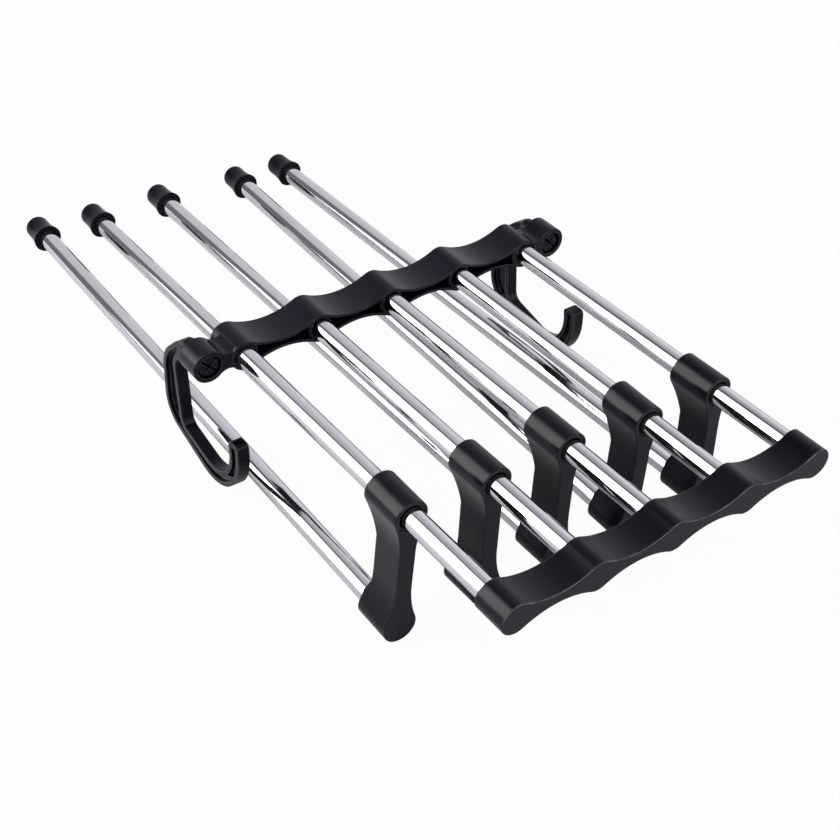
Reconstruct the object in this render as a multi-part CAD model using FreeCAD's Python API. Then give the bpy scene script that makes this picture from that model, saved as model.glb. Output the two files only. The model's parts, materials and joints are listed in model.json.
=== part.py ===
import FreeCAD, Part
import math
import os

# Multi-tier trouser hanger: a frame of plastic and steel with sliding trouser bars and two swivel hooks.
# Frame of the model: +X towards the plain end bar, Y across the rails, +Z up.
# The origin lies on the ground plane, below the middle of the whole length and width.

Vector = FreeCAD.Vector
X_AXIS = Vector(1, 0, 0)
Y_AXIS = Vector(0, 1, 0)
Z_AXIS = Vector(0, 0, 1)

# Driving sizes in millimetres, angles in degrees

# Tubes
tube_d = 10.0
tube_wall = 0.6
seat_gap = 0.05

# Frame: five rails between two wavy bars
rail_count = 5
pitch = 40.0
frame_length = 212.3
end_bar_depth = 16.3
mid_bar_depth = 19.5
lobe_r = 7.25
waist = 5.0
shell_wall = 1.2
face_wall = 2.2
ring_wall = 1.1
ring_inset = 1.5
face_edge_r = 0.5

# Ears of the mid bar that carry the hooks
boss_r = 8.0
boss_length = 13.2
boss_inset = 1.0
boss_offset = 17.6
neck_height = 8.8
head_recess = 3.8
recess_wall = 2.2
boss_edge_r = 0.5

# Trouser bars: where each one stands along its rail, and how it leans and splays
station = 61.5
station_shift = [-4.0, -1.4, -1.6, 3.0, 3.9]
lean = [-3.0, 0.0, 0.0, -0.9, 3.6]
splay = [-1.05, 0.6, 0.15, -1.6, 0.65]
drop = 59.7
bar_length = 374.0

# Leg bracket: collar above, web between, sleeve below
collar_r = 7.85
collar_length = 22.2
web_width = 7.9
web_depth = 16.9
sleeve_r = 8.05
sleeve_length = 19.8
sleeve_wall = 3.0
collar_fillet_r = 45.0
sleeve_fillet_r = 50.0
shoulder_top = 4.0
shoulder_bend_r = 2.0
sleeve_bend_r = 2.0
shoulder_slope = 15.5
sleeve_slope = 7.0
leg_edge_r = 0.5

# Slide bush, free on the rail and snapped into the collar by its rib
bush_gap = 0.6
bush_wall = 0.9
bush_inset = 0.4
bush_flare = 0.2
rib_height = 0.4
rib_width = 2.0
rib_play = 0.15
turn_gap = 0.08

# End caps
cap_r = 6.6
cap_length = 17.0
cap_end_wall = 3.2
cap_edge_r = 3.0
flare_r = 7.9
flare_length = 5.5
flare_bend_r = 44.0
mouth_gap = 0.3
mouth_depth = 0.5

# Hooks: a flat C with raised rims, and a split snap pin that turns in the boss
hook_thickness = 6.0
seat_r = 18.0
seat_forward = 14.7
seat_drop = 35.2
seat_band = 7.8
inner_floor_slope = 13.0
outer_floor_slope = 18.0
inner_tip_lean = 10.0
outer_tip_lean = 3.0
tip_rise = 8.5
tip_corner_r = 2.6
back_reach = 27.1
back_band_top = 11.2
back_band_foot = 15.6
back_corner_r = 16.0
heel_corner_r = 6.0
shoulder_height = 17.0
shoulder_r = 21.0
root_length = 9.0
root_r = 14.0
throat_r = 7.0
throat_drop = 9.0
hub_r = 4.4
hub_length = 6.0
plate_rise = 3.2
rim_width = 2.2
rim_height = 2.2
groove_start = 11.5
bridge_angle = 63.0
bridge_inset = 1.5
bridge_width = 2.0
pin_r = 4.0
head_r = 5.2
head_length = 2.6
head_bevel = 0.6
slit_width = 1.1
slit_depth = 8.0
slit_angle = 45.0
axial_play = 0.2

# How far a cut runs past the face it goes through, and how near counts as lying on a plane
overrun = 1.0
flatness = 1e-4

# Places worked out from the sizes
tube_r = tube_d / 2
socket_r = tube_r + seat_gap
axis_z = sleeve_r + drop
rail_y = [(i - (rail_count - 1) / 2) * pitch for i in range(rail_count)]
bar_station = [station - shift for shift in station_shift]
reach = max(s + bar_length for s in bar_station)
front_x = reach / 2
back_x = front_x - frame_length
mid_front_x = back_x + mid_bar_depth
boss_y = rail_y[-1] + boss_offset
boss_front_x = mid_front_x - boss_inset
boss_back_x = boss_front_x - boss_length
hook_x = boss_back_x - axial_play
bush_bore_r = tube_r + bush_gap
bush_r = bush_bore_r + bush_wall
collar_bore_r = bush_r + turn_gap
collar_middle = -collar_length / 2


def rod(radius, x_from, x_to, y=0.0, z=0.0):
    """A round bar along X."""
    return Part.makeCylinder(radius, x_to - x_from, Vector(x_from, y, z), X_AXIS)


def pipe(outer_r, inner_r, x_from, x_to):
    """A hollow round bar along X, on the X axis."""
    return rod(outer_r, x_from, x_to).cut(rod(inner_r, x_from - overrun, x_to + overrun))


def cone(r_from, r_to, x_from, x_to):
    """A tapered round bar along X, on the X axis."""
    return Part.makeCone(r_from, r_to, x_to - x_from, Vector(x_from, 0, 0), X_AXIS)


def arc_between(start, end, centre, radius):
    """The short arc from start to end round a centre."""
    middle = (start - centre) + (end - centre)
    middle.normalize()
    return Part.Arc(start, centre + middle * radius, end).toShape()


def saddle(y_1, r_1, y_2, r_2, half_waist):
    """The hollow arc above the Y axis that joins two circles on it: start, lowest point, end."""
    gap = y_2 - y_1
    k = (r_1 - r_2) / gap
    y_0 = (gap ** 2 + r_1 ** 2 - r_2 ** 2) / (2 * gap)
    b = 2 * y_0 * k - 2 * (r_1 - half_waist)
    c = y_0 ** 2 - r_1 ** 2 + half_waist ** 2
    radius = 2 * c / (-b + math.sqrt(b ** 2 - 4 * k ** 2 * c))
    centre = Vector(0, y_1 + y_0 + k * radius, radius + half_waist)
    centre_1 = Vector(0, y_1, 0)
    centre_2 = Vector(0, y_2, 0)
    start = centre_1 + (centre - centre_1) * (r_1 / (r_1 + radius))
    end = centre_2 + (centre - centre_2) * (r_2 / (r_2 + radius))
    return start, centre - Vector(0, 0, radius), end


def below(point):
    """The mirror image of a point under the Y axis."""
    return Vector(point.x, point.y, -point.z)


def lobed_face(circles, half_waist):
    """A face in the YZ plane through circles (y, r) in a row, joined above and below by hollow arcs."""
    joins = [saddle(*a, *b, half_waist) for a, b in zip(circles, circles[1:])]
    first_y, first_r = circles[0]
    last_y, last_r = circles[-1]
    first_end = Vector(0, first_y - first_r, 0)
    last_end = Vector(0, last_y + last_r, 0)
    edges = [Part.Arc(below(joins[0][0]), first_end, joins[0][0]).toShape()]
    edges.append(Part.Arc(joins[-1][2], last_end, below(joins[-1][2])).toShape())
    for side in (lambda point: point, below):
        for start, low, end in joins:
            edges.append(Part.Arc(side(start), side(low), side(end)).toShape())
        for (y, r), before, after in zip(circles[1:-1], joins, joins[1:]):
            edges.append(Part.Arc(side(before[2]), side(Vector(0, y, r)), side(after[0])).toShape())
    return Part.Face(Part.Wire(Part.__sortEdges__(edges)))


def rounded_face(corners):
    """A face in the XZ plane from corners (x, z, radius), each one rounded unless its radius is zero."""
    points = [Vector(x, 0, z) for x, z, radius in corners]
    trimmed = []
    for i, (point, corner) in enumerate(zip(points, corners)):
        radius = corner[2]
        if radius == 0:
            trimmed.append((point, point, None))
            continue
        to_last = (points[i - 1] - point).normalize()
        to_next = (points[(i + 1) % len(points)] - point).normalize()
        half = to_last.getAngle(to_next) / 2
        setback = radius / math.tan(half)
        centre = point + (to_last + to_next).normalize() * (radius / math.sin(half))
        trimmed.append((point + to_last * setback, point + to_next * setback, centre))
    edges = []
    for i, (start, end, centre) in enumerate(trimmed):
        if centre is not None:
            edges.append(arc_between(start, end, centre, corners[i][2]))
        following = trimmed[(i + 1) % len(trimmed)][0]
        edges.append(Part.makeLine(end, following))
    return Part.Face(Part.Wire(edges))


def inset_corners(corners, distance):
    """The corners of an outline moved inwards all round; its inside is on the left along the way."""
    moved = []
    for i, (x, z, radius) in enumerate(corners):
        last_x, last_z, last_radius = corners[i - 1]
        next_x, next_z, next_radius = corners[(i + 1) % len(corners)]
        arriving = Vector(x - last_x, 0, z - last_z).normalize()
        leaving = Vector(next_x - x, 0, next_z - z).normalize()
        left_1 = Vector(-arriving.z, 0, arriving.x)
        left_2 = Vector(-leaving.z, 0, leaving.x)
        shift = (left_1 + left_2) * (distance / (1 + left_1.dot(left_2)))
        growth = -distance if left_1.dot(leaving) > 0 else distance
        moved.append((x + shift.x, z + shift.z, radius + growth if radius else 0))
    return moved


def edges_on_plane(shape, x):
    """The edges of a shape that lie in the plane X = x."""
    ends = [(edge, edge.BoundBox.XMin, edge.BoundBox.XMax) for edge in shape.Edges]
    return [edge for edge, low, high in ends if abs(low - x) < flatness and abs(high - x) < flatness]


def wavy_bar(depth):
    """A hollow lobed bar, closed at X = 0 and open at X = depth, with a ring for each rail."""
    outer = lobed_face([(y, lobe_r) for y in rail_y], waist / 2)
    inner = lobed_face([(y, lobe_r - shell_wall) for y in rail_y], waist / 2 - shell_wall)
    bar = outer.extrude(X_AXIS * depth)
    bar = bar.makeFillet(face_edge_r, edges_on_plane(bar, 0))
    cavity = inner.extrude(X_AXIS * depth)
    cavity.translate(X_AXIS * face_wall)
    bar = bar.cut(cavity)
    for y in rail_y:
        bar = bar.fuse(rod(tube_r + ring_wall, face_wall / 2, depth - ring_inset, y))
    for y in rail_y:
        bar = bar.cut(rod(socket_r, face_wall, depth + overrun, y))
    return bar.removeSplitter()


def end_bar():
    bar = wavy_bar(end_bar_depth)
    bar.rotate(Vector(0, 0, 0), Z_AXIS, 180)
    bar.translate(Vector(front_x, 0, axis_z))
    return bar


def hook_ear():
    """The boss at the +Y end of the mid bar, with its neck and pin bore; the rail axes are at Z = 0."""
    ear = lobed_face([(rail_y[-1], lobe_r), (boss_y, boss_r)], neck_height / 2)
    ear = ear.extrude(X_AXIS * boss_length)
    ear.translate(X_AXIS * boss_back_x)
    ear = ear.makeFillet(boss_edge_r, edges_on_plane(ear, boss_front_x))
    ear = ear.cut(rod(pin_r + turn_gap, boss_back_x - overrun, boss_front_x + overrun, boss_y))
    recess_r = boss_r - recess_wall
    ear = ear.cut(rod(recess_r, boss_front_x - head_recess, boss_front_x + overrun, boss_y))
    return ear.cut(rod(socket_r, back_x + face_wall, mid_front_x + overrun, rail_y[-1]))


def mid_bar():
    bar = wavy_bar(mid_bar_depth)
    bar.translate(X_AXIS * back_x)
    ear = hook_ear()
    bar = bar.fuse(ear).fuse(ear.mirror(Vector(0, 0, 0), Y_AXIS))
    bar = bar.removeSplitter()
    bar.translate(Z_AXIS * axis_z)
    return bar


def rail(i):
    """An upper tube, seated against the closed faces of both wavy bars."""
    tube = pipe(tube_r, tube_r - tube_wall, back_x + face_wall, front_x - face_wall)
    tube.translate(Vector(0, rail_y[i], axis_z))
    return tube


def leg_outline():
    """The bracket seen along the rail, in the YZ plane: two circles and a waist with hollow fillets."""
    half = web_width / 2
    collar_dip = math.sqrt((collar_r + collar_fillet_r) ** 2 - (half + collar_fillet_r) ** 2)
    sleeve_rise = math.sqrt((sleeve_r + sleeve_fillet_r) ** 2 - (half + sleeve_fillet_r) ** 2)
    sleeve_centre = Vector(0, 0, -drop)
    edges = []
    shoulders = []
    for side in (1, -1):
        top_centre = Vector(0, side * (half + collar_fillet_r), -collar_dip)
        low_centre = Vector(0, side * (half + sleeve_fillet_r), sleeve_rise - drop)
        on_collar = top_centre * (collar_r / (collar_r + collar_fillet_r))
        sleeve_share = sleeve_r / (sleeve_r + sleeve_fillet_r)
        on_sleeve = sleeve_centre + (low_centre - sleeve_centre) * sleeve_share
        waist_top = Vector(0, side * half, top_centre.z)
        waist_low = Vector(0, side * half, low_centre.z)
        edges.append(arc_between(on_collar, waist_top, top_centre, collar_fillet_r))
        edges.append(Part.makeLine(waist_top, waist_low))
        edges.append(arc_between(waist_low, on_sleeve, low_centre, sleeve_fillet_r))
        shoulders.append((on_collar, on_sleeve))
    edges.append(Part.Arc(shoulders[0][0], Vector(0, 0, collar_r), shoulders[1][0]).toShape())
    edges.append(Part.Arc(shoulders[0][1], Vector(0, 0, -drop - sleeve_r), shoulders[1][1]).toShape())
    return Part.Face(Part.Wire(Part.__sortEdges__(edges)))


def leg_side():
    """The bracket seen from the side, in the XZ plane: flush in front, with the web set in behind."""
    top = collar_r + overrun
    foot = -drop - sleeve_r - overrun
    sleeve_top = -drop + sleeve_r
    return rounded_face([
        (0, top, 0),
        (-collar_length, top, 0),
        (-collar_length, -shoulder_top, 0),
        (-web_depth, -shoulder_top - shoulder_slope, shoulder_bend_r),
        (-web_depth, sleeve_top + sleeve_slope, sleeve_bend_r),
        (-sleeve_length, sleeve_top, 0),
        (-sleeve_length, foot, 0),
        (0, foot, 0),
    ])


def placed(shape, i):
    """A trouser bar's piece, moved to rail i and turned about the middle of its collar."""
    pivot = X_AXIS * collar_middle
    shape.rotate(pivot, X_AXIS, lean[i])
    shape.rotate(pivot, Z_AXIS, splay[i])
    shape.translate(Vector(front_x - bar_station[i], rail_y[i], axis_z))
    return shape


def leg_bracket():
    """The leg in its own place: collar axis along X at the origin, front face at X = 0."""
    leg = leg_outline().extrude(X_AXIS * -collar_length)
    half_span = max(collar_r, sleeve_r) + overrun
    side = leg_side()
    side.translate(Y_AXIS * -half_span)
    leg = leg.common(side.extrude(Y_AXIS * 2 * half_span))
    leg = leg.makeFillet(leg_edge_r, edges_on_plane(leg, 0))
    leg = leg.cut(rod(collar_bore_r, -collar_length - overrun, overrun))
    groove_half = rib_width / 2 + rib_play
    groove_r = collar_bore_r + rib_height
    leg = leg.cut(rod(groove_r, collar_middle - groove_half, collar_middle + groove_half))
    return leg.cut(rod(socket_r, -sleeve_length - overrun, -sleeve_wall, 0, -drop))


def slide_bush():
    """The sleeve between rail and collar, with a snap rib outside and flared mouths inside."""
    front = -bush_inset
    back = bush_inset - collar_length
    rib_half = rib_width / 2
    rib = rod(bush_r + rib_height, collar_middle - rib_half, collar_middle + rib_half)
    bush = rod(bush_r, back, front).fuse(rib)
    bush = bush.cut(rod(bush_bore_r, back - overrun, front + overrun))
    wide = bush_bore_r + bush_flare
    bush = bush.cut(cone(bush_bore_r, wide, front - bush_flare, front))
    return bush.cut(cone(wide, bush_bore_r, back, back + bush_flare))


def trouser_bar():
    """The lower tube, from the blind end of the sleeve to the blind end of the cap."""
    tube = pipe(tube_r, tube_r - tube_wall, cap_end_wall - bar_length, -sleeve_wall)
    tube.translate(Z_AXIS * -drop)
    return tube


def end_cap():
    """A push-on cap with a round nose, a flare towards the mouth and a bevel inside it."""
    mouth = cap_length - bar_length
    profile = rounded_face([
        (-bar_length, 0, 0),
        (mouth, 0, 0),
        (mouth, flare_r, 0),
        (mouth - flare_length, cap_r, flare_bend_r),
        (-bar_length, cap_r, cap_edge_r),
    ])
    cap = profile.revolve(Vector(0, 0, 0), X_AXIS, 360)
    cap = cap.cut(rod(socket_r, cap_end_wall - bar_length, mouth + overrun))
    cap = cap.cut(cone(socket_r, socket_r + mouth_gap, mouth - mouth_depth, mouth))
    cap.translate(Z_AXIS * -drop)
    return cap


def seat_point(radius, angle):
    """A point of the hook's rod seat, at an angle from straight forward."""
    turn = math.radians(angle)
    return seat_forward + radius * math.cos(turn), -seat_drop + radius * math.sin(turn)


def seat_corner(radius, start, end):
    """Where the tangents at two angles of the rod seat meet."""
    return seat_point(radius / math.cos(math.radians((end - start) / 2)), (start + end) / 2)


def floor_height(radius, slope, x):
    """The height at x of the hook's floor, a line that runs into the rod seat at its slope."""
    from_x, from_z = seat_point(radius, -90 - slope)
    return from_z + math.tan(math.radians(slope)) * (from_x - x)


def hook_corners():
    """The corners of the C in the XZ plane; the pin runs along X from the origin into the boss."""
    outer_r = seat_r + seat_band
    back = -back_reach
    back_top = back + back_band_top
    back_foot = back + back_band_foot
    tip_z = tip_rise - seat_drop
    tip_outer = seat_forward + outer_r / math.cos(math.radians(outer_tip_lean))
    tip_outer -= tip_rise * math.tan(math.radians(outer_tip_lean))
    tip_inner = seat_forward + seat_r / math.cos(math.radians(inner_tip_lean))
    tip_inner -= tip_rise * math.tan(math.radians(inner_tip_lean))
    return [
        (0, plate_rise, 0),
        (-root_length, plate_rise, root_r),
        (back, plate_rise - shoulder_height, shoulder_r),
        (back, floor_height(outer_r, outer_floor_slope, back), back_corner_r),
        (*seat_corner(outer_r, -90 - outer_floor_slope, outer_tip_lean), outer_r),
        (tip_outer, tip_z, tip_corner_r),
        (tip_inner, tip_z, tip_corner_r),
        (*seat_corner(seat_r, -90 - inner_floor_slope, inner_tip_lean), seat_r),
        (back_foot, floor_height(seat_r, inner_floor_slope, back_foot), heel_corner_r),
        (back_top, -throat_drop, throat_r),
        (0, -throat_drop, 0),
    ]


def snap_pin():
    """The hook's pin from the hub through the boss, with a bevelled head, split by a crossed slit."""
    head_from = axial_play + boss_length - head_recess + axial_play
    head_to = head_from + head_length
    pin = rod(pin_r, -hub_length / 2, head_to)
    pin = pin.fuse(rod(head_r, head_from, head_to - head_bevel))
    pin = pin.fuse(cone(head_r, head_r - head_bevel, head_to - head_bevel, head_to))
    slit_corner = Vector(head_to - slit_depth, -slit_width / 2, -2 * head_r)
    slit = Part.makeBox(slit_depth + overrun, slit_width, 4 * head_r, slit_corner)
    for angle in (slit_angle, -slit_angle):
        turned = slit.copy()
        turned.rotate(Vector(0, 0, 0), X_AXIS, angle)
        pin = pin.cut(turned)
    return pin


def hook_groove():
    """The sunk panel of one side, from Y = 0 on; the root and a slanting bridge stay solid."""
    panel = rounded_face(inset_corners(hook_corners(), rim_width)).extrude(Y_AXIS * rim_height)
    root_height = plate_rise + throat_drop + 2 * overrun
    root_corner = Vector(-groove_start, 0, -throat_drop - overrun)
    root = Part.makeBox(groove_start + overrun, rim_height, root_height, root_corner)
    bridge_corner = Vector(seat_r + bridge_inset, 0, 0)
    bridge = Part.makeBox(bridge_width, rim_height, seat_r + seat_band, bridge_corner)
    bridge.rotate(Vector(0, 0, 0), Y_AXIS, bridge_angle)
    bridge.translate(Vector(seat_forward, 0, -seat_drop))
    return panel.cut(root).cut(bridge)


def hook():
    """One hook about its own pin axis, hanging straight down."""
    plate = rounded_face(hook_corners()).extrude(Y_AXIS * hook_thickness)
    plate.translate(Y_AXIS * (-hook_thickness / 2))
    for start in (-hook_thickness / 2, hook_thickness / 2 - rim_height):
        groove = hook_groove()
        groove.translate(Y_AXIS * start)
        plate = plate.cut(groove)
    body = plate.fuse(rod(hub_r, -hub_length, 0)).fuse(snap_pin())
    return body.removeSplitter()


def placed_hook(side):
    shape = hook()
    shape.translate(Vector(hook_x, side * boss_y, axis_z))
    return shape


def build():
    """Every piece by its name."""
    pieces = {"end_bar": end_bar(), "mid_bar": mid_bar()}
    pieces["hook_left"] = placed_hook(-1)
    pieces["hook_right"] = placed_hook(1)
    for i in range(rail_count):
        number = str(i + 1)
        pieces["rail_" + number] = rail(i)
        pieces["leg_bracket_" + number] = placed(leg_bracket(), i)
        pieces["slide_bush_" + number] = placed(slide_bush(), i)
        pieces["trouser_bar_" + number] = placed(trouser_bar(), i)
        pieces["end_cap_" + number] = placed(end_cap(), i)
    return pieces


os.makedirs("parts", exist_ok=True)
for name, shape in build().items():
    print(name, len(shape.Solids), "solid", "valid" if shape.isValid() else "not valid")
    shape.exportStep("parts/" + name + ".step")
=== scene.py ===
import json
import math

import bpy
from mathutils import Matrix, Vector

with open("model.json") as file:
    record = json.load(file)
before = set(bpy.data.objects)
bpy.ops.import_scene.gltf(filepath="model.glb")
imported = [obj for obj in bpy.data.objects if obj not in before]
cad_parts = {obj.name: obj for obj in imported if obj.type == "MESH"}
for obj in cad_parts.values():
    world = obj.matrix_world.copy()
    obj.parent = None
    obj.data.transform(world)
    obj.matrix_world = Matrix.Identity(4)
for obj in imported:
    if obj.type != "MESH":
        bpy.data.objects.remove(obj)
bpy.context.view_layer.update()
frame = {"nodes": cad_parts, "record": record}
scene = bpy.context.scene
scene.view_settings.view_transform = "Standard"

# Camera at the photograph's viewing angle
CAMERA_PLACE = (0.48754, -0.33718, 0.45154)
CAMERA_FORWARD = Vector((-0.61866, 0.47950, -0.62237)).normalized()
CAMERA_RIGHT = Vector((0.58534, 0.80970, 0.04197))
CAMERA_LENS = 62.33
CAMERA_SENSOR = 36.0
CAMERA_NEAR = 0.01

# Floor: paper just under the part, and the share of plain white that direct and mirrored rays see in it
FLOOR_SIZE = 8.0
FLOOR_DROP = 0.0003
FLOOR_DARK = (0.50, 0.50, 0.51, 1.0)
FLOOR_LIGHT = (0.54, 0.54, 0.55, 1.0)
FLOOR_CLOUDS = 6.0
FLOOR_GLOW = 0.96
FLOOR_MIRRORED = 0.02

# A softbox on the left, behind the object: a point on its upper edge, its tilt, its turn in its own plane
SOFTBOX_EDGE = (-0.501, -0.279, 1.185)
SOFTBOX_TILT = 45.0
SOFTBOX_TURN = 38.5
# Its panels: how far each reaches from that point along and across the box, how far in front, how bright
SOFTBOX_PANELS = {
    "softbox_cloth": dict(top=-0.25, foot=1.65, near=0.00, far=0.88, lift=0.00, level=1.5),
    "softbox_core": dict(top=0.00, foot=1.65, near=0.20, far=0.88, lift=0.02, level=3.3),
}

# The room's light by direction: darker at the zenith, lighter towards the right side and the front
ROOM_COLOR = (0.94, 0.94, 1.0, 1.0)
CEILING_LEVEL = 0.66
ZENITH_LEVEL = 0.30
ZENITH_FADE = (0.68, 0.90)
SIDE_LIFT = 0.16
SIDE_FADE = (0.50, 0.80)
FRONT_LIFT = 1.1
FRONT_FADE = (0.25, 0.60)
BACKDROP_COLOR = (1.0, 1.0, 1.0, 1.0)

# The dark rim along the softbox's upper edge: the share of light left in it, and where it begins and ends
RIM_NORMAL = (0.611, -0.788, 0.076)
RIM_SHARE = 0.28
RIM_FADE = (-0.31, -0.18)
RIM_END = (-0.35, -0.10)

# How far the true normal and a rounded one agree where an edge begins and where it is in full
EDGE_AGREEMENT = (0.995, 0.86)
BEVEL_SAMPLES = 6

# A Mix node has sockets for each kind of data; these belong to colours
MIX_INPUTS = (0, 6, 7)
MIX_RESULT = 2


class Nodes:
    """Short calls for putting a node tree together."""

    def __init__(self, tree):
        self.tree = tree
        tree.nodes.clear()

    def add(self, kind, **settings):
        node = self.tree.nodes.new("ShaderNode" + kind)
        for key, value in settings.items():
            setattr(node, key, value)
        return node

    def put(self, value, socket):
        """Links an output to a socket, or writes a number or a colour on it."""
        if isinstance(value, bpy.types.NodeSocket):
            self.tree.links.new(value, socket)
        else:
            socket.default_value = value

    def feed(self, node, *values, **named):
        """Fills a node's sockets, in order or by name with underscores for spaces, and returns the node."""
        for socket, value in zip(node.inputs, values):
            self.put(value, socket)
        for key, value in named.items():
            self.put(value, node.inputs[key.replace("_", " ")])
        return node

    def math(self, operation, a, b=0.0):
        return self.feed(self.add("Math", operation=operation), a, b).outputs[0]

    def product(self, first, *others):
        for other in others:
            first = self.math("MULTIPLY", first, other)
        return first

    def mixed(self, a, b, share):
        """A share of the first value and the rest of the second."""
        return self.math("ADD", self.product(a, share), self.product(b, 1.0 - share))

    def span(self, value, low, high, to_low=0.0, to_high=1.0):
        """A value carried from one range to another, held at its ends."""
        node = self.add("MapRange", clamp=True)
        self.feed(node, Value=value, From_Min=low, From_Max=high, To_Min=to_low, To_Max=to_high)
        return node.outputs[0]

    def blend(self, factor, a, b):
        """A colour between two colours."""
        node = self.add("Mix", data_type="RGBA")
        for index, value in zip(MIX_INPUTS, (factor, a, b)):
            self.put(value, node.inputs[index])
        return node.outputs[MIX_RESULT]

    def dot(self, a, b):
        return self.feed(self.add("VectorMath", operation="DOT_PRODUCT"), a, b).outputs["Value"]

    def split(self, vector):
        """The X, Y and Z of a vector, by name."""
        return self.feed(self.add("SeparateXYZ"), Vector=vector).outputs

    def place(self, stretch=(1.0, 1.0, 1.0)):
        """The point on the piece in metres, stretched along its axes."""
        here = self.add("TexCoord").outputs["Object"]
        return self.feed(self.add("Mapping"), Vector=here, Scale=stretch).outputs["Vector"]

    def noise(self, where, scale, detail, roughness):
        node = self.add("TexNoise")
        self.feed(node, Vector=where, Scale=scale, Detail=detail, Roughness=roughness)
        return node.outputs["Fac"]

    def rounded(self, radius):
        """The normal as it would be with rounded edges."""
        return self.feed(self.add("Bevel", samples=BEVEL_SAMPLES), Radius=radius).outputs["Normal"]

    def edges(self, radius):
        """About 1 along outer and inner edges and 0 on flat and gently curved faces."""
        true_normal = self.add("NewGeometry").outputs["Normal"]
        return self.span(self.dot(self.rounded(radius), true_normal), *EDGE_AGREEMENT)

    def facing(self):
        """The X, Y and Z of the normal in the piece's own frame, by name."""
        return self.split(self.add("TexCoord").outputs["Normal"])

    def front_rim(self):
        """1 along the upper rounded rim of a face that looks along +X, and 0 elsewhere."""
        normal = self.facing()
        off_the_top = self.span(normal["X"], low=0.25, high=0.45)
        off_the_face = self.span(normal["X"], low=0.97, high=0.88)
        upwards = self.span(normal["Z"], low=0.05, high=0.40)
        return self.product(off_the_top, off_the_face, upwards)

    def side_faces(self):
        """1 on faces that look along Y, either way, and 0 elsewhere."""
        sideways = self.math("ABSOLUTE", self.facing()["Y"])
        return self.span(sideways, low=0.6, high=0.9)

    def bump(self, **inputs):
        return self.feed(self.add("Bump"), **inputs).outputs["Normal"]

    def surface(self, color, gloss, normal, **levels):
        """The material's shader and output."""
        shader = self.add("BsdfPrincipled")
        self.feed(shader, Base_Color=color, Roughness=gloss, Normal=normal, **levels)
        self.feed(self.add("OutputMaterial"), Surface=shader.outputs[0])

    def mix_shaders(self, share, a, b):
        return self.feed(self.add("MixShader"), share, a.outputs[0], b.outputs[0]).outputs[0]

    def seen_by(self, *kinds):
        """1 for rays of the kinds named."""
        path = self.add("LightPath")
        seen = 0.0
        for kind in kinds:
            seen = self.math("MAXIMUM", path.outputs["Is %s Ray" % kind], seen)
        return seen


def new_material(name):
    material = bpy.data.materials.new(name)
    material.use_nodes = True
    return material, Nodes(material.node_tree)


# Black plastics: two tones, roughness, strength of the grain, paler edges in several places that are partly
# wear and partly painted highlight, and shine
PLASTICS = {
    "frame_plastic": dict(
        dark=(0.0015, 0.0019, 0.0045, 1.0), light=(0.0030, 0.0037, 0.0082, 1.0),
        rough=0.21, grain=0.30, edge_wear_and_highlight=0.12, shine=0.24,
    ),
    # The end bar gets a painted highlight along the upper edge of its front face
    "end_bar_plastic": dict(
        dark=(0.0015, 0.0018, 0.0038, 1.0), light=(0.0030, 0.0036, 0.0070, 1.0),
        rough=0.21, grain=0.30, edge_wear_and_highlight=0.30, shine=0.24, rim_painted_highlight=0.9,
    ),
    "leg_plastic": dict(
        dark=(0.0015, 0.0018, 0.0036, 1.0), light=(0.0030, 0.0036, 0.0066, 1.0),
        rough=0.21, grain=0.50, edge_wear_and_highlight=0.20, shine=0.24,
    ),
    # The hooks get a painted highlight along the edges of their side faces
    "hook_plastic": dict(
        dark=(0.0013, 0.0015, 0.0030, 1.0), light=(0.0026, 0.0030, 0.0056, 1.0),
        rough=0.21, grain=0.25, edge_wear_and_highlight=0.30, shine=0.17, side_painted_highlight=0.7,
    ),
    "bush_plastic": dict(
        dark=(0.0030, 0.0030, 0.0034, 1.0), light=(0.0055, 0.0055, 0.0060, 1.0),
        rough=0.45, grain=0.35, edge_wear_and_highlight=0.30, shine=0.24,
    ),
}
# What all plastics share, with widths, roundings and depths in metres
# Colour of the paler edges: partly rubbed wear, partly a painted highlight
PLASTIC_WEAR_AND_HIGHLIGHT = (0.160, 0.160, 0.175, 1.0)
PLASTIC_WEAR_AND_HIGHLIGHT_WIDTH = 0.0014
PLASTIC_WORN_SMOOTHER = 0.07
PLASTIC_GLOSS_SWING = 0.05
PLASTIC_ROUNDING = 0.0006
PLASTIC_GRAIN_DEPTH = 0.00004


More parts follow.
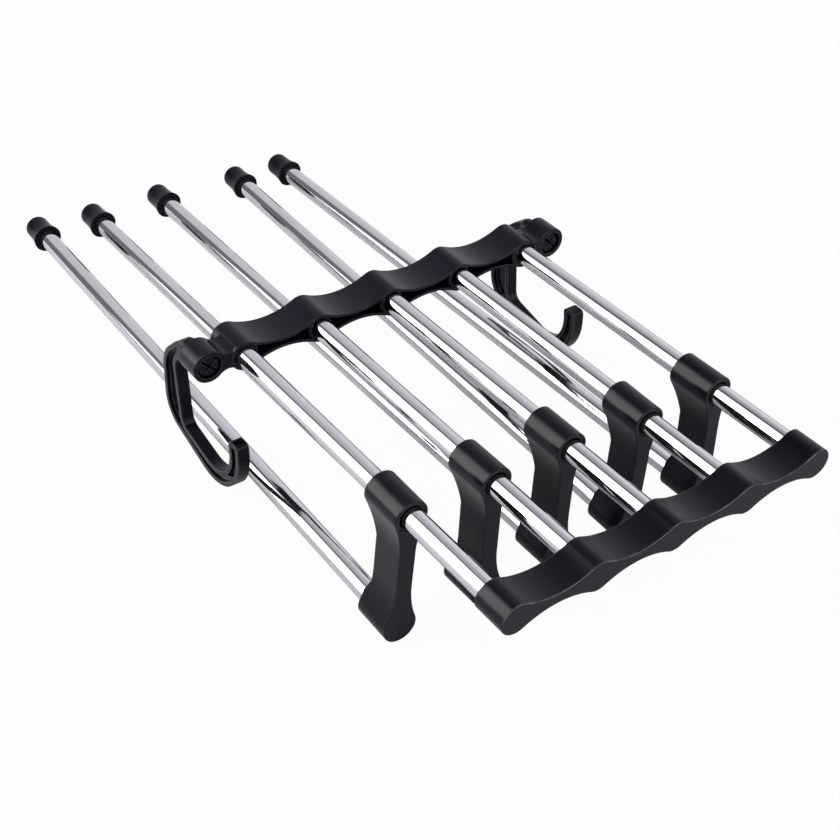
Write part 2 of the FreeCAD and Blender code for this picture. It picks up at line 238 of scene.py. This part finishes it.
def moulded_plastic(name, dark, light, rough, grain, edge_wear_and_highlight, shine, rim_painted_highlight=0.0, side_painted_highlight=0.0):
    """Black moulded plastic: fine spark grain, slow flow marks, and edges paler and smoother, partly from
    rubbing and partly as a painted highlight.
    """
    material, n = new_material(name)
    where = n.place()
    flow = n.noise(n.place(stretch=(0.6, 1.0, 1.0)), scale=60.0, detail=3.0, roughness=0.6)
    patch = n.noise(where, scale=22.0, detail=2.0, roughness=0.5)
    speck = n.noise(where, scale=2600.0, detail=2.0, roughness=0.6)
    patchiness = n.noise(where, scale=160.0, detail=3.0, roughness=0.65)
    patchiness = n.span(patchiness, low=0.35, high=0.7, to_low=0.15)
    # Edges paler in patches: partly rubbed wear, partly a painted highlight
    edge_wear_and_highlight_mask = n.product(n.edges(PLASTIC_WEAR_AND_HIGHLIGHT_WIDTH), patchiness)
    wear_and_painted_highlight = n.product(edge_wear_and_highlight_mask, edge_wear_and_highlight)
    # Some looks have a painted highlight, paler colour along a rounded front rim facing up or along the
    # edges of side faces
    if rim_painted_highlight:
        wear_and_painted_highlight = n.math("MAXIMUM", wear_and_painted_highlight, n.product(n.front_rim(), patchiness, rim_painted_highlight))
    if side_painted_highlight:
        wear_and_painted_highlight = n.math("MAXIMUM", wear_and_painted_highlight, n.product(edge_wear_and_highlight_mask, n.side_faces(), side_painted_highlight))
    tone = n.span(n.mixed(flow, speck, share=0.65), low=0.32, high=0.68)
    color = n.blend(tone, dark, light)
    # Lays the paler edge colour on: partly wear, partly painted highlight
    color = n.blend(wear_and_painted_highlight, color, PLASTIC_WEAR_AND_HIGHLIGHT)
    glossy = rough - PLASTIC_GLOSS_SWING
    dull = rough + PLASTIC_GLOSS_SWING
    gloss = n.mixed(patch, speck, share=0.7)
    gloss = n.span(gloss, low=0.3, high=0.7, to_low=glossy, to_high=dull)
    gloss = n.math("SUBTRACT", gloss, n.product(edge_wear_and_highlight_mask, PLASTIC_WORN_SMOOTHER))
    edge = n.rounded(PLASTIC_ROUNDING)
    normal = n.bump(Strength=grain, Distance=PLASTIC_GRAIN_DEPTH, Height=speck, Normal=edge)
    n.surface(color, gloss, normal, Specular_IOR_Level=shine)
    return material


# Rubber of the end caps
RUBBER_DARK = (0.0020, 0.0022, 0.0040, 1.0)
RUBBER_LIGHT = (0.0040, 0.0044, 0.0075, 1.0)
RUBBER_MARKED = (0.02, 0.02, 0.022, 1.0)
RUBBER_MARKS = 0.20
RUBBER_WORN = (0.06, 0.06, 0.064, 1.0)
RUBBER_WEAR = 0.25
RUBBER_WORN_WIDTH = 0.0006
RUBBER_SMOOTH = 0.19
RUBBER_ROUGH = 0.25
RUBBER_SHINE = 0.11
RUBBER_ROUNDING = 0.0004
RUBBER_GRAIN = 0.35
RUBBER_GRAIN_DEPTH = 0.00005


def soft_rubber(name):
    """Push-on caps: satin black rubber with a fine open grain, faint handling marks and paler edges."""
    material, n = new_material(name)
    where = n.place()
    grain = n.noise(where, scale=3200.0, detail=3.0, roughness=0.65)
    marks = n.noise(n.place(stretch=(1.0, 0.35, 0.35)), scale=240.0, detail=4.0, roughness=0.7)
    slow = n.noise(where, scale=45.0, detail=2.0, roughness=0.5)
    color = n.blend(n.span(slow, low=0.35, high=0.65), RUBBER_DARK, RUBBER_LIGHT)
    marked = n.product(n.span(marks, low=0.58, high=0.75), RUBBER_MARKS)
    color = n.blend(marked, color, RUBBER_MARKED)
    edge_wear_and_highlight_mask = n.product(n.edges(RUBBER_WORN_WIDTH), RUBBER_WEAR)
    color = n.blend(edge_wear_and_highlight_mask, color, RUBBER_WORN)
    gloss = n.mixed(marks, slow, share=0.6)
    gloss = n.span(gloss, low=0.35, high=0.65, to_low=RUBBER_SMOOTH, to_high=RUBBER_ROUGH)
    edge = n.rounded(RUBBER_ROUNDING)
    normal = n.bump(Strength=RUBBER_GRAIN, Distance=RUBBER_GRAIN_DEPTH, Height=grain, Normal=edge)
    n.surface(color, gloss, normal, Specular_IOR_Level=RUBBER_SHINE)
    return material


# Steel of the tubes
STEEL_CLEAR = (0.83, 0.83, 0.845, 1.0)
STEEL_HAZY = (0.77, 0.77, 0.79, 1.0)
STEEL_SCRATCHED = (0.6, 0.6, 0.62, 1.0)
STEEL_SCRATCHES = 0.3
STEEL_SMOOTH = 0.045
STEEL_ROUGH = 0.085
STEEL_SCRATCH_ROUGHER = 0.06
STEEL_LINES = 0.05
STEEL_LINE_DEPTH = 0.00002


def polished_steel(name):
    """Polished stainless tube: buffing lines along it, faint handling haze and a few hairline scratches."""
    material, n = new_material(name)
    lines = n.noise(n.place(stretch=(1.0, 60.0, 60.0)), scale=60.0, detail=3.0, roughness=0.6)
    haze = n.noise(n.place(stretch=(0.5, 1.0, 1.0)), scale=70.0, detail=4.0, roughness=0.6)
    scratch = n.noise(n.place(stretch=(0.15, 8.0, 8.0)), scale=420.0, detail=2.0, roughness=0.7)
    hair = n.span(scratch, low=0.66, high=0.74)
    color = n.blend(n.span(haze, low=0.35, high=0.7), STEEL_CLEAR, STEEL_HAZY)
    color = n.blend(n.product(hair, STEEL_SCRATCHES), color, STEEL_SCRATCHED)
    gloss = n.mixed(haze, lines, share=0.6)
    gloss = n.span(gloss, low=0.35, high=0.65, to_low=STEEL_SMOOTH, to_high=STEEL_ROUGH)
    gloss = n.math("ADD", gloss, n.product(hair, STEEL_SCRATCH_ROUGHER))
    normal = n.bump(Strength=STEEL_LINES, Distance=STEEL_LINE_DEPTH, Height=lines)
    n.surface(color, gloss, normal, Metallic=1.0)
    return material


MATERIALS = {name: moulded_plastic(name, **look) for name, look in PLASTICS.items()}
MATERIALS["cap_rubber"] = soft_rubber("cap_rubber")
MATERIALS["rail_steel"] = polished_steel("rail_steel")
MATERIALS["bar_steel"] = polished_steel("bar_steel")

# The end bar has paler edges than the rest of the frame, partly wear and partly painted highlight, and a
# painted highlight along its front rim
OWN_LOOK = {"end_bar": "end_bar_plastic"}

slot_of = {row["node"]: row["material_slot"] for row in frame["record"]["subparts"]}
for name, node in frame["nodes"].items():
    look = OWN_LOOK.get(name, slot_of[name])
    node.data.materials.clear()
    node.data.materials.append(MATERIALS[look])
    # One tube's image in the next is thinner than a pixel and would only make sparkle
    node.visible_glossy = "steel" not in look


def add_camera():
    data = bpy.data.cameras.new("photo_camera")
    data.lens = CAMERA_LENS
    data.sensor_width = CAMERA_SENSOR
    data.clip_start = CAMERA_NEAR
    camera = bpy.data.objects.new("photo_camera", data)
    right = (CAMERA_RIGHT - CAMERA_FORWARD * CAMERA_RIGHT.dot(CAMERA_FORWARD)).normalized()
    up = right.cross(CAMERA_FORWARD)
    turn = Matrix((right, up, -CAMERA_FORWARD)).transposed().to_4x4()
    camera.matrix_world = Matrix.Translation(CAMERA_PLACE) @ turn
    scene.collection.objects.link(camera)
    scene.camera = camera


def add_panel(name, axes, top, foot, near, far, lift, level):
    """One lit panel of the softbox; the axes run along it, across it and out of its back."""
    along, across, out = axes
    data = bpy.data.lights.new(name, "AREA")
    data.shape = "RECTANGLE"
    data.size = foot - top
    data.size_y = far - near
    data.energy = level * math.pi * data.size * data.size_y
    lamp = bpy.data.objects.new(name, data)
    middle = Vector(SOFTBOX_EDGE) + along * (top + foot) / 2 + across * (near + far) / 2 - out * lift
    lamp.matrix_world = Matrix.Translation(middle) @ Matrix(axes).transposed().to_4x4()
    lamp.visible_camera = False
    scene.collection.objects.link(lamp)


def add_softbox():
    """The cloth of the softbox, with a brighter core, facing the object from the left."""
    tilt = math.radians(SOFTBOX_TILT)
    turn = math.radians(SOFTBOX_TURN)
    out = Vector((0.0, -math.sin(tilt), math.cos(tilt)))
    down = Vector((0.0, -math.cos(tilt), -math.sin(tilt)))
    along = down * math.cos(turn) - Vector((math.sin(turn), 0.0, 0.0))
    axes = (along, out.cross(along), out)
    for name, panel in SOFTBOX_PANELS.items():
        add_panel(name, axes, **panel)


def add_world():
    """The room, as the part mirrors it, and a white backdrop for the camera."""
    world = bpy.data.worlds.new("studio")
    scene.world = world
    world.use_nodes = True
    n = Nodes(world.node_tree)
    where = n.add("TexCoord").outputs["Generated"]
    towards = n.split(where)
    ceiling = n.span(towards["Z"], *ZENITH_FADE, CEILING_LEVEL, ZENITH_LEVEL)
    ceiling = n.math("ADD", ceiling, n.span(towards["Y"], *SIDE_FADE, 0.0, SIDE_LIFT))
    rim = n.span(n.dot(where, RIM_NORMAL), *RIM_FADE, 0.0, 1.0 - RIM_SHARE)
    rim = n.product(rim, n.span(towards["X"], *RIM_END, 1.0, 0.0))
    level = n.product(ceiling, n.math("SUBTRACT", 1.0, rim))
    level = n.math("ADD", level, n.span(towards["X"], *FRONT_FADE, 0.0, FRONT_LIFT))
    room = n.feed(n.add("Background"), Color=ROOM_COLOR, Strength=level)
    backdrop = n.feed(n.add("Background"), Color=BACKDROP_COLOR)
    light = n.mix_shaders(n.seen_by("Camera", "Transmission"), room, backdrop)
    n.feed(n.add("OutputWorld"), Surface=light)


def add_floor():
    """Paper that takes the shadows, and that the camera sees as a nearly white ground."""
    half = FLOOR_SIZE / 2
    mesh = bpy.data.meshes.new("floor")
    corners = [(-half, -half, 0), (half, -half, 0), (half, half, 0), (-half, half, 0)]
    mesh.from_pydata(corners, [], [(0, 1, 2, 3)])
    floor = bpy.data.objects.new("floor", mesh)
    floor.location.z = -FLOOR_DROP
    scene.collection.objects.link(floor)
    material, n = new_material("floor_paper")
    clouds = n.noise(n.place(), scale=FLOOR_CLOUDS, detail=2.0, roughness=0.5)
    paper = n.feed(n.add("BsdfDiffuse"), Color=n.blend(clouds, FLOOR_DARK, FLOOR_LIGHT))
    direct = n.product(n.seen_by("Camera", "Transmission"), FLOOR_GLOW)
    mirrored = n.product(n.seen_by("Glossy"), FLOOR_MIRRORED)
    ground = n.mix_shaders(n.math("MAXIMUM", direct, mirrored), paper, n.add("Emission"))
    n.feed(n.add("OutputMaterial"), Surface=ground)
    mesh.materials.append(material)


add_camera()
add_world()
add_floor()
add_softbox()
